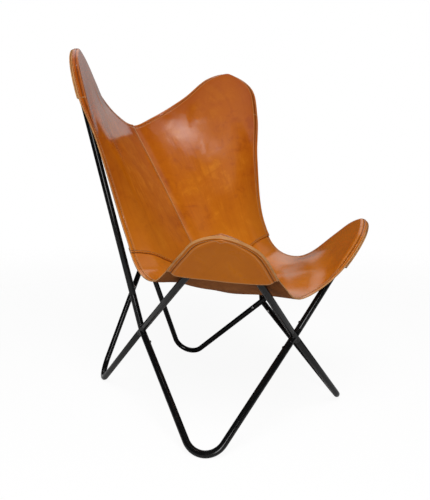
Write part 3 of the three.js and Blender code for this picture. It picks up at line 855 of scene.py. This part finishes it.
class Line:
    """A stretch of a smooth line, read by the share of the way along it."""

    def __init__(self, spots, start, end):
        self.spots = spots[start * LINE_STEPS:end * LINE_STEPS + 1]
        self.runs = runs_along(self.spots)
        self.length = self.runs[-1]

    def read(self, share):
        return read_line(self.spots, self.runs, np.clip(share, 0, 1) * self.length)


def beside_loop(bend, margin, shares):
    share, outward, lift = shares
    return bend.beside(share, ROD_RADIUS + outward * margin, lift * margin)


def edge_lines():
    loops = BENDS["left"]
    front = [beside_loop(loops["front_loop"], FRONT_MARGIN, shares) for shares in
             [*FRONT_EDGE_SHARES, FRONT_TIP_SHARES, *FRONT_SIDE_SHARES]]
    back = [beside_loop(loops["back_loop"], BACK_MARGIN, shares) for shares in
            [*BACK_SIDE_SHARES, BACK_TIP_SHARES, *TOP_EDGE_SHARES]]
    half = [LIP, *front, *back, NOTCH]
    spots = catmull([*half, *[mirrored(point) for point in reversed(half[1:-1])]], True)
    front_tip = len(FRONT_EDGE_SHARES) + 1
    back_tip = len(half) - 2 - len(TOP_EDGE_SHARES)
    middle = [LIP, *[Vector((0, LIP.y + back_share * (NOTCH.y - LIP.y), LIP.z + up_share * (NOTCH.z - LIP.z)))
                     for back_share, up_share in MIDDLE_SHARES], NOTCH]
    return (Line(spots, 0, front_tip), Line(spots, front_tip, back_tip), Line(spots, back_tip, len(half) - 1),
            Line(catmull(middle, False), 0, len(middle) - 1))


FRONT_LINE, SIDE_LINE, TOP_LINE, MIDDLE_LINE = edge_lines()
MIRROR = np.array([-1.0, 1.0, 1.0])


def narrowed(points, width):
    return np.concatenate([points[..., :1] * width[..., None], points[..., 1:]], axis=-1)


def spanned(width, along):
    base = narrowed(SIDE_LINE.read(along), width)
    front = FRONT_LINE.read(width) - narrowed(SIDE_LINE.read(np.zeros_like(width)), width)
    top = TOP_LINE.read(1 - width) - narrowed(SIDE_LINE.read(np.ones_like(width)), width)
    return base + front * (1 - along)[..., None] + top * along[..., None]


def hung(across, along):
    width = abs(across)
    hollow = MIDDLE_LINE.read(along) - spanned(np.zeros_like(width), along)
    point = spanned(width, along) + hollow * ((1 - width ** 2) ** HOLLOW_FADE_SHARE)[..., None]
    return np.where((across < 0)[..., None], point * MIRROR, point)


def eased(share):
    share = np.clip(share, 0, 1)
    return share * share * (3 - 2 * share)


class Corner:
    """One tip of the sling: the loop that it hangs on, and the pocket sewn under it."""

    def __init__(self, side, end):
        self.side, self.end = side, end
        self.sign = 1 if side == "left" else -1
        self.along = 1.0 if end == "back" else 0.0
        self.bend = BENDS[side][f"{end}_loop"]
        self.mouth = BACK_MOUTH_SHARES if end == "back" else FRONT_MOUTH_SHARES
        self.rim = BACK_RIM if end == "back" else FRONT_RIM

    def holds(self, across, along):
        return ((across < 0) == (self.sign < 0)) & ((along >= 0.5) == (self.along > 0.5))

    def depth(self, across, along):
        return (1 - abs(across)) / self.mouth[0] + abs(along - self.along) / self.mouth[1]

    def rise(self, across, along):
        here = hung(across, along)
        to_end = lengths(here - hung(across, np.full_like(along, self.along)))
        to_side = lengths(here - hung(np.full_like(across, self.sign), along))
        inside = np.clip((np.minimum(to_end, to_side) - HEM) / (self.rim - HEM), 0, 1)
        return 1 - (1 - inside) ** 2

    def surface(self, across, along, layer):
        point = hung(across, along)
        up = np.array(self.bend.up)
        own = (point - np.array(self.bend.middle)) @ up
        slope = RIDGE_SLOPE_SHARE * (np.hypot(self.bend.distance_in_plane(point), RIDGE_ROUND) - RIDGE_ROUND)
        ridge = REST_HEIGHT + RIDGE_CLEARANCE - slope
        overlap = np.clip(RIDGE_BLEND - abs(own - ridge), 0, None) / RIDGE_BLEND
        draped = np.maximum(own, ridge) + overlap ** 2 * RIDGE_BLEND / 4
        rise = self.rise(across, along)
        sewn = (own + layer * SEWN_HEIGHT) * (1 - rise) + layer * REST_HEIGHT * rise
        past_mouth = (self.depth(across, along) - 1) / MOUTH_FADE_SHARE
        hold = 1 - eased(past_mouth) if layer > 0 else np.ones_like(own)
        height = draped * (1 - hold) + sewn * hold
        return point + (height - own)[..., None] * up


REST_HEIGHT = ROD_RADIUS + SEAT_GAP + LEATHER / 2
SEWN_HEIGHT = (LEATHER + SEWN_GAP) / 2
CORNERS = [Corner(side, end) for side in ("left", "right") for end in ("back", "front")]


def surface(across, along, layer=1):
    """The middle of the sling's leather (layer 1), or of the pocket sewn under it (layer -1)."""
    across, along = np.clip(across, -1, 1), np.clip(along, 0, 1)
    result = np.zeros(across.shape + (3,))
    for corner in CORNERS:
        mine = corner.holds(across, along)
        if mine.any():
            result[mine] = corner.surface(across[mine], along[mine], layer)
    return result


# How far from a place, in shares, its neighbours are that show which way it faces
NUDGE = 0.002


def normals(across, along, layer=1):
    """The sitter's side of the leather."""
    over = surface(across + NUDGE, along, layer) - surface(across - NUDGE, along, layer)
    up = surface(across, along + NUDGE, layer) - surface(across, along - NUDGE, layer)
    normal = np.cross(over, up)
    length = lengths(normal)
    for corner in CORNERS:
        flat = corner.holds(across, along) & (length < MM ** 3)
        normal[flat] = np.array(corner.bend.up)
    return unit(normal)


SEAM_SPOT = np.full(1, SEAM_SHARE)
HALF_WIDTH = float(np.linalg.norm(spanned(np.zeros(1), SEAM_SPOT) - SIDE_LINE.read(SEAM_SPOT)))
LAP_ACROSS, LAP_ALONG = LAP / HALF_WIDTH, LAP / MIDDLE_LINE.length
FADE_ACROSS, FADE_ALONG = LAP_FADE / HALF_WIDTH, LAP_FADE / MIDDLE_LINE.length
GAP_ALONG = SEAT_GAP / MIDDLE_LINE.length
UNDER_DROP = LEATHER + SEWN_GAP


def left_drop(across, along):
    """The left panel lies under the right one's edge, and rises gently beyond it."""
    return UNDER_DROP * eased(1 - across / FADE_ACROSS)


def seat_drop(across, along):
    """The seat panel lies under both back panels at their seam, and rises gently in front of it."""
    beyond_lap = UNDER_DROP * eased(2 + across / LAP_ACROSS)
    double = np.where(across < -LAP_ACROSS, beyond_lap, left_drop(across, along))
    return (UNDER_DROP + double) * eased((along - SEAM_SHARE) / FADE_ALONG + 1)


def no_drop(across, along):
    return np.zeros_like(across)


# Leather pieces

def close_lines(start, end, length, fine_start=False, fine_end=False):
    """Shares from start to end, GRID_STEP apart and closer where the leather turns over at a rim."""
    fine = RIM_STEPS / length
    low = start + fine if fine_start else np.array([start])
    high = end - fine[::-1] if fine_end else np.array([end])
    count = max(int(round((high[0] - low[-1]) * length / GRID_STEP)), 2)
    inner = np.linspace(low[-1], high[0], count + 1)[1:-1]
    return np.concatenate([low, inner, high])


def sheet_mesh(name, points, facing, measures, materials):
    """A grid given its places, then its thickness and round edges. Materials: front, back and cut edge."""
    rows, columns = points.shape[:2]
    piece = start_piece(name, bpy.ops.mesh.primitive_grid_add, x_subdivisions=columns - 1,
                        y_subdivisions=rows - 1, size=1)
    mesh = piece.data
    if len(mesh.vertices) != rows * columns:
        raise ValueError(f"{name}: the grid has {len(mesh.vertices)} points, not {rows * columns}")
    mesh.vertices.foreach_set("co", points.reshape(-1).astype(np.float32))
    mesh.update()
    face = mesh.polygons[len(mesh.polygons) // 2]
    if face.normal.dot(Vector(facing)) < 0:
        mesh.flip_normals()
    for label, values in measures.items():
        kind, field = ("FLOAT_VECTOR", "vector") if values.ndim > 2 else ("FLOAT", "value")
        layer = mesh.attributes.new(label, kind, "POINT")
        layer.data.foreach_set(field, values.reshape(-1).astype(np.float32))
    edit_all()
    bpy.ops.mesh.remove_doubles(threshold=SAME_PLACE)
    to_mode("OBJECT")
    for material in materials:
        mesh.materials.append(material)
    add_modifier(piece, "thickness", "SOLIDIFY", thickness=LEATHER, offset=0, material_offset=1,
                 material_offset_rim=2)
    add_modifier(piece, "rounding", "BEVEL", width=EDGE_ROUND, segments=2, limit_method="ANGLE",
                 angle_limit=math.radians(60), material=2)
    apply_modifiers(piece)
    smooth_by_angle(piece, 50)
    return piece


def edge_distance(across, along):
    """How far a place is from the sling's outer edge."""
    here = hung(across, along)
    ends = [hung(across, np.full_like(along, end)) for end in (0.0, 1.0)]
    side = hung(np.where(across < 0, -1.0, 1.0), along)
    return np.min([lengths(here - other) for other in (*ends, side)], axis=0)


def to_middle(across, along):
    return abs(across) * HALF_WIDTH


def to_seat(across, along):
    return (along - SEAM_SHARE) * MIDDLE_LINE.length


def to_both_seams(across, along):
    return np.minimum(to_middle(across, along), to_seat(across, along))


def far_away(across, along):
    """A metre from everywhere, for a piece without such a line."""
    return np.full_like(across, 1.0)


def leather_measures(across, along, seam, opening):
    """What the leather's colour reads: how far its lines are, and each place as the leather lies flat."""
    edge = edge_distance(across, along)
    return {
        "edge_distance": edge,
        "seam_distance": seam,
        "lip_distance": np.minimum(edge, opening),
        "leather_place": np.stack([across * HALF_WIDTH, along * MIDDLE_LINE.length, 0 * across], axis=-1),
    }


def give_leather(piece, node, slot, materials):
    """Puts a piece of leather in place of its CAD node, and keeps which of its faces is grain, flesh or edge.
    """
    indices = [face.material_index for face in piece.data.polygons]
    give(piece, [node], slot, *materials)
    piece.data.polygons.foreach_set("material_index", indices)


def make_panel(name, node, across_lines, along_lines, drop, seam, opening):
    across, along = np.meshgrid(across_lines, along_lines)
    facing = normals(across, along)
    points = surface(across, along) - facing * drop(across, along)[..., None]
    centre = tuple(size // 2 for size in across.shape)
    measures = leather_measures(across, along, seam(across, along), opening(across, along))
    materials = (TAN, FLESH, CUT)
    piece = sheet_mesh(name, points, facing[centre], measures, materials)
    give_leather(piece, node, "sling_leather", materials)


def make_sling():
    back_rows = close_lines(SEAM_SHARE + GAP_ALONG, 1, MIDDLE_LINE.length, fine_end=True)
    seat_rows = close_lines(0, SEAM_SHARE + LAP_ALONG, MIDDLE_LINE.length, fine_start=True)
    right_columns = close_lines(-1, 0, HALF_WIDTH, fine_start=True)
    left_columns = close_lines(-LAP_ACROSS, 1, HALF_WIDTH, fine_end=True)
    all_columns = close_lines(-1, 1, HALF_WIDTH, fine_start=True, fine_end=True)
    make_panel("seat_leather", "seat_panel", all_columns, seat_rows, seat_drop, far_away, far_away)
    make_panel("back_leather_right", "back_panel_right", right_columns, back_rows, no_drop, to_both_seams,
               to_middle)
    make_panel("back_leather_left", "back_panel_left", left_columns, back_rows, left_drop, to_seat, far_away)


def pocket_grid(corner):
    """Places of a pocket's leaf: rings out from the tip, and swings from the end's rim to the side's."""
    rings = np.linspace(0, 1, POCKET_RINGS)
    swings = np.concatenate([POCKET_RIM_SWINGS, POCKET_INNER_SWINGS, 1 - POCKET_RIM_SWINGS[::-1]])
    swing, ring = np.meshgrid(swings, rings)
    reach = ring * (1 + MOUTH_BOW_SHARE * np.sin(np.pi * swing))
    across = corner.sign * (1 - corner.mouth[0] * reach * (1 - swing))
    along = abs(corner.along - corner.mouth[1] * reach * swing)
    return across, along


def make_pocket(corner):
    across, along = pocket_grid(corner)
    points = surface(across, along, -1)
    points[0] = points[0].mean(axis=0)
    ring = np.linspace(1, 0, len(points))[:, None] * np.ones_like(across)
    mouth = ring * corner.mouth[1] * MIDDLE_LINE.length
    measures = leather_measures(across, along, far_away(across, along), mouth)
    materials = (FLESH, POCKET_TAN_PAINTED_LIGHTER, CUT)
    name = f"{corner.end}_pocket_leather_{corner.side}"
    piece = sheet_mesh(name, points, np.array(corner.bend.up), measures, materials)
    give_leather(piece, f"{corner.end}_pocket_{corner.side}", "pocket_leather", materials)


# Sewing

class Hide:
    """One layer of the leather, for finding the nearest place on it and the way it faces there."""

    def __init__(self, layer, across, along, drop=no_drop):
        across, along = np.meshgrid(across, along)
        facing = normals(across, along, layer)
        self.points = (surface(across, along, layer) - facing * drop(across, along)[..., None]).reshape(-1, 3)
        self.facing = facing.reshape(-1, 3)
        self.tree = KDTree(len(self.points))
        for index, point in enumerate(self.points):
            self.tree.insert(point, index)
        self.tree.balance()

    def nearest(self, places):
        return np.array([self.tree.find(place)[1] for place in places])

    def settle(self, places, height):
        """Places moved onto the leather, then raised by a height over its middle."""
        nearest = self.nearest(places)
        facing = self.facing[nearest]
        away = ((places - self.points[nearest]) * facing).sum(axis=-1)
        return places + (height - away)[:, None] * facing


def stretches(*parts):
    """Shares in stretches that follow each other, each with its own count of even places."""
    shares = [np.linspace(*part) for part in parts]
    return np.concatenate([shares[0], *[share[1:] for share in shares[1:]]])


def rim_line(sign, along_start, along_end, front_start=None, top_end=None):
    """The stretch of the sling's edge that one panel or pocket has, from the front round to the top."""
    parts = [SIDE_LINE.read(np.linspace(along_start, along_end, SIDE_STEPS))]
    if front_start is not None:
        parts.insert(0, FRONT_LINE.read(np.linspace(front_start, 1, FRONT_STEPS)))
    if top_end is not None:
        parts.append(TOP_LINE.read(np.linspace(0, 1 - top_end, TOP_STEPS)))
    line = np.concatenate(parts)
    return line * MIRROR if sign < 0 else line


def evened(line, step):
    """A line read at even steps, without its doubled places."""
    line = line[np.concatenate([[True], lengths(np.diff(line, axis=0)) > step / 100])]
    runs = runs_along(line)
    count = max(int(runs[-1] / step), 2)
    return read_line(line, runs, np.linspace(0, runs[-1], count + 1))


def inset_line(hide, edge, inset, height):
    """A line on the leather that keeps its distance from the edge."""
    edge = evened(edge, SEWING_STEP)
    tangent = unit(np.gradient(edge, axis=0))
    inward = unit(np.cross(hide.facing[hide.nearest(edge)], tangent))
    if (inward * (hide.points.mean(axis=0) - edge)).sum() < 0:
        inward = -inward
    return evened(hide.settle(edge + inward * inset, height), SEWING_STEP)


def sheet_line(across, along, drop=no_drop):
    """A line on the sitter's side of the leather, at given shares across and along it."""
    lift = THREAD_HEIGHT - drop(across, along)
    return evened(surface(across, along) + normals(across, along) * lift[:, None], MM)


def model_stitch():
    """One stitch on the X axis: a short thread with rounded ends."""
    stitch = start_piece("stitch", bpy.ops.mesh.primitive_cylinder_add, vertices=8,
                         radius=THREAD_DIAMETER / 2, depth=STITCH_LENGTH, rotation=(0, math.pi / 2, 0))
    edit_faces(stitch, lambda face: abs(face.normal.x) > FACING)
    bpy.ops.mesh.bevel(offset=THREAD_DIAMETER * STITCH_ROUND_SHARE, segments=2, affect="EDGES")
    to_mode("OBJECT")
    return stitch


def sew_along(name, lines, slot="sling_leather"):
    """Rows of stitches along lines, as one piece of thread."""
    rows = []
    for line in lines:
        curve = bpy.data.curves.new("sewing_line", "CURVE")
        curve.dimensions = "3D"
        spline = curve.splines.new("POLY")
        spline.points.add(len(line) - 1)
        spline.points.foreach_set("co", np.concatenate([line, np.ones((len(line), 1))], axis=1).reshape(-1))
        path = into_scene("sewing_line", curve)
        row = model_stitch()
        add_modifier(row, "repeat", "ARRAY", use_relative_offset=False, use_constant_offset=True,
                     constant_offset_displace=(STITCH_PITCH, 0, 0),
                     count=max(int((runs_along(line)[-1] - STITCH_LENGTH) / STITCH_PITCH), 1))
        add_modifier(row, "follow", "CURVE", object=path, deform_axis="POS_X")
        row.data.transform(Matrix.Translation((STITCH_LENGTH, 0, 0)))
        apply_modifiers(row)
        bpy.data.objects.remove(path)
        bpy.data.curves.remove(curve)
        rows.append(row)
    thread = join(rows, name)
    smooth_by_angle(thread, 40)
    give(thread, [], slot, THREAD)


def sling_hide(sign, near, far, drop):
    """One side of the sling from one share along to another, with close points where it turns over."""
    across, along = stretches(*HIDE_ACROSS), stretches(*HIDE_ALONG)
    return Hide(1, sign * across, along[(along >= near) & (along <= far)], drop)


def tack_lines(sign):
    """Short rows square to the rim, where the mouth of a back pocket ends."""
    lines = []
    for beside in TACK_ROWS:
        along = np.full(TACK_STEPS, 1 - BACK_MOUTH_SHARES[1] + beside / MIDDLE_LINE.length)
        across = sign * (1 - np.linspace(0, TACK_LENGTH, TACK_STEPS) / HALF_WIDTH)
        lines.append(sheet_line(across, along))
    return lines


def sew_sling():
    """Rows along the hems and seams on the sitter's side, and round the pockets outside."""
    seam_row = SEAM_SHARE + SEAM_STITCH_INSET / MIDDLE_LINE.length
    seat_lines = []
    for side, sign, drop in (("left", 1, left_drop), ("right", -1, no_drop)):
        seat_hide = sling_hide(sign, 0, SEAM_SHARE + HIDE_LAP_SHARE, seat_drop)
        seat_rim = rim_line(sign, 0, SEAM_SHARE, front_start=MIDDLE_GAP_SHARE)
        seat_lines.append(inset_line(seat_hide, seat_rim, STITCH_INSET, THREAD_HEIGHT))
        back_hide = sling_hide(sign, SEAM_SHARE - HIDE_LAP_SHARE, 1, drop)
        back_rim = rim_line(sign, SEAM_SHARE, 1, top_end=MIDDLE_GAP_SHARE)
        lines = [inset_line(back_hide, back_rim, STITCH_INSET, THREAD_HEIGHT)]
        across = sign * np.linspace(SEAM_STITCH_INSET / HALF_WIDTH, 1 - HEM / HALF_WIDTH, SEAT_SEAM_STEPS)
        lines.append(sheet_line(across, np.full_like(across, seam_row), drop))
        if side == "right":
            along = np.linspace(seam_row, 1 - HEM / MIDDLE_LINE.length, MIDDLE_SEAM_STEPS)
            lines.append(sheet_line(np.full_like(along, -SEAM_STITCH_INSET / HALF_WIDTH), along, drop))
        sew_along(f"back_seam_thread_{side}", lines)
        sew_along(f"mouth_tack_{side}", tack_lines(sign))
    sew_along("seat_hem_thread", seat_lines)
    for corner in CORNERS:
        sew_pocket(corner)


def sew_pocket(corner):
    reach = POCKET_HIDE_SHARE * stretches(*POCKET_HIDE_REACH)
    across = corner.sign * (1 - corner.mouth[0] * reach)
    hide = Hide(-1, across, abs(corner.along - corner.mouth[1] * reach))
    mouth_along = abs(corner.along - corner.mouth[1] * POCKET_SEWN_SHARE)
    mouth_across = 1 - corner.mouth[0] * POCKET_SEWN_SHARE
    if corner.end == "back":
        edge = rim_line(corner.sign, mouth_along, 1, top_end=mouth_across)
    else:
        edge = rim_line(corner.sign, 0, mouth_along, front_start=mouth_across)
    line = inset_line(hide, edge, STITCH_INSET, -THREAD_HEIGHT)
    sew_along(f"{corner.end}_pocket_thread_{corner.side}", [line], "pocket_leather")


make_rods()
for crossing_name in CROSSINGS:
    make_connector(crossing_name)
make_screws()
make_sling()
for sling_corner in CORNERS:
    make_pocket(sling_corner)
sew_sling()


# Stage, light and camera

def merge_shaders(tree, kind, a, b, **inputs):
    """Adds or mixes two shaders, which go into the node's last two inputs."""
    node = add_node(tree, kind, **inputs)
    for socket, shader in zip(list(node.inputs)[-2:], (a, b)):
        tree.links.new(shader.outputs[0], socket)
    return node


def make_floor():
    """White like the backdrop, with the chair's shadow on it."""
    floor = start_piece("floor", bpy.ops.mesh.primitive_circle_add, vertices=96, radius=FLOOR_RADIUS,
                        fill_type="NGON", location=(0, 0, 0))
    material = bpy.data.materials.new("pale_floor")
    tree = empty_tree(material)
    place = add_node(tree, "TexCoord").outputs["Object"]
    reach = vector_maths(tree, "LENGTH", place, output="Value")
    seen = add_node(tree, "LightPath").outputs["Is Camera Ray"]
    paint, thin_paint = [add_node(tree, "BsdfDiffuse", Color=(tone, tone, tone, 1))
                         for tone in (FLOOR_PAINT, FLOOR_PAINT * FLOOR_SHADE_SHARE)]
    white = add_node(tree, "Emission", Color=(1, 1, 1, 1), Strength=FLOOR_GLOW)
    lit = merge_shaders(tree, "AddShader", thin_paint, white)
    glow = merge_shaders(tree, "MixShader", paint, lit, Fac=seen)
    clear = add_node(tree, "BsdfTransparent")
    faded = merge_shaders(tree, "MixShader", glow, clear, Fac=remap(tree, reach, *FLOOR_FADE))
    add_node(tree, "OutputMaterial", Surface=faded.outputs[0])
    floor.data.materials.append(material)


def heading(tree, direction, way):
    """How nearly a direction, seen from above, points one way: 1 straight there and 0 square to it."""
    level = vector_maths(tree, "NORMALIZE", vector_maths(tree, "MULTIPLY", direction, (1, 1, 0)))
    return vector_maths(tree, "DOT_PRODUCT", level, (way.x, way.y, 0), output="Value")


def make_world():
    """A white backdrop behind the chair as the camera sees it, in a dim room with a soft fill."""
    world = bpy.data.worlds.new("studio")
    bpy.context.scene.world = world
    tree = empty_tree(world)
    direction = add_node(tree, "TexCoord").outputs["Generated"]
    height = add_node(tree, "SeparateXYZ", Vector=direction).outputs["Z"]
    behind = heading(tree, direction, (CAMERA_TARGET - CAMERA_PLACE).to_2d().normalized())
    low_panel = remap(tree, heading(tree, direction, LOW_PANEL_WAY), *LOW_PANEL_EDGES)
    high_panel = maths(tree, "MULTIPLY", remap(tree, behind, *HIGH_PANEL_EDGES),
                       remap(tree, height, *HIGH_PANEL_FOOT))
    panels = maths(tree, "MULTIPLY", maths(tree, "MAXIMUM", low_panel, high_panel),
                   remap(tree, height, *PANEL_HEIGHTS, *PANEL_STRENGTHS))
    beside = heading(tree, direction, SIDE_WALL_WAY)
    side_wall = maths(tree, "MULTIPLY", remap(tree, beside, *SIDE_WALL_EDGES),
                      remap(tree, height, *SIDE_WALL_FOOT))
    mirrored_room = maths(tree, "ADD", stacked(tree, panels, (side_wall, SIDE_WALL_STRENGTH)), ROOM_IN_GLOSS)
    ray = add_node(tree, "LightPath").outputs
    in_gloss = maths(tree, "MAXIMUM", ray["Is Glossy Ray"], ray["Is Transmission Ray"])
    strength = maths(tree, "MULTIPLY_ADD", in_gloss, maths(tree, "SUBTRACT", mirrored_room, FILL), FILL)
    strength = maths(tree, "MAXIMUM", strength, ray["Is Camera Ray"])
    background = add_node(tree, "Background", Color=(1, 1, 1, 1), Strength=strength)
    add_node(tree, "OutputWorld", Surface=background.outputs[0])


def aim(name, data, place, target):
    """Puts a lamp or the camera at its place, turned toward its target."""
    holder = into_scene(name, data)
    holder.location = place
    holder.rotation_euler = turned_along(toward(Vector(place), Vector(target)), "-Z")
    return holder


def add_softbox(name, place, target, size, power, in_gloss, in_diffuse):
    light = bpy.data.lights.new(name, "AREA")
    light.shape = "RECTANGLE"
    light.size, light.size_y = size
    light.energy = power
    lamp = aim(name, light, place, target)
    lamp.visible_glossy = in_gloss
    lamp.visible_diffuse = in_diffuse


def make_camera():
    camera = bpy.data.cameras.new("camera")
    camera.sensor_width = SENSOR
    camera.lens = FOCAL_PIXELS / IMAGE_HEIGHT * SENSOR
    camera.shift_x, camera.shift_y = [shift / IMAGE_HEIGHT for shift in SHIFT_PIXELS]
    bpy.context.scene.camera = aim("camera", camera, CAMERA_PLACE, CAMERA_TARGET)


make_floor()
make_world()
for lamp_settings in LAMPS:
    add_softbox(*lamp_settings)
make_camera()
bpy.context.scene.view_settings.view_transform = "Standard"
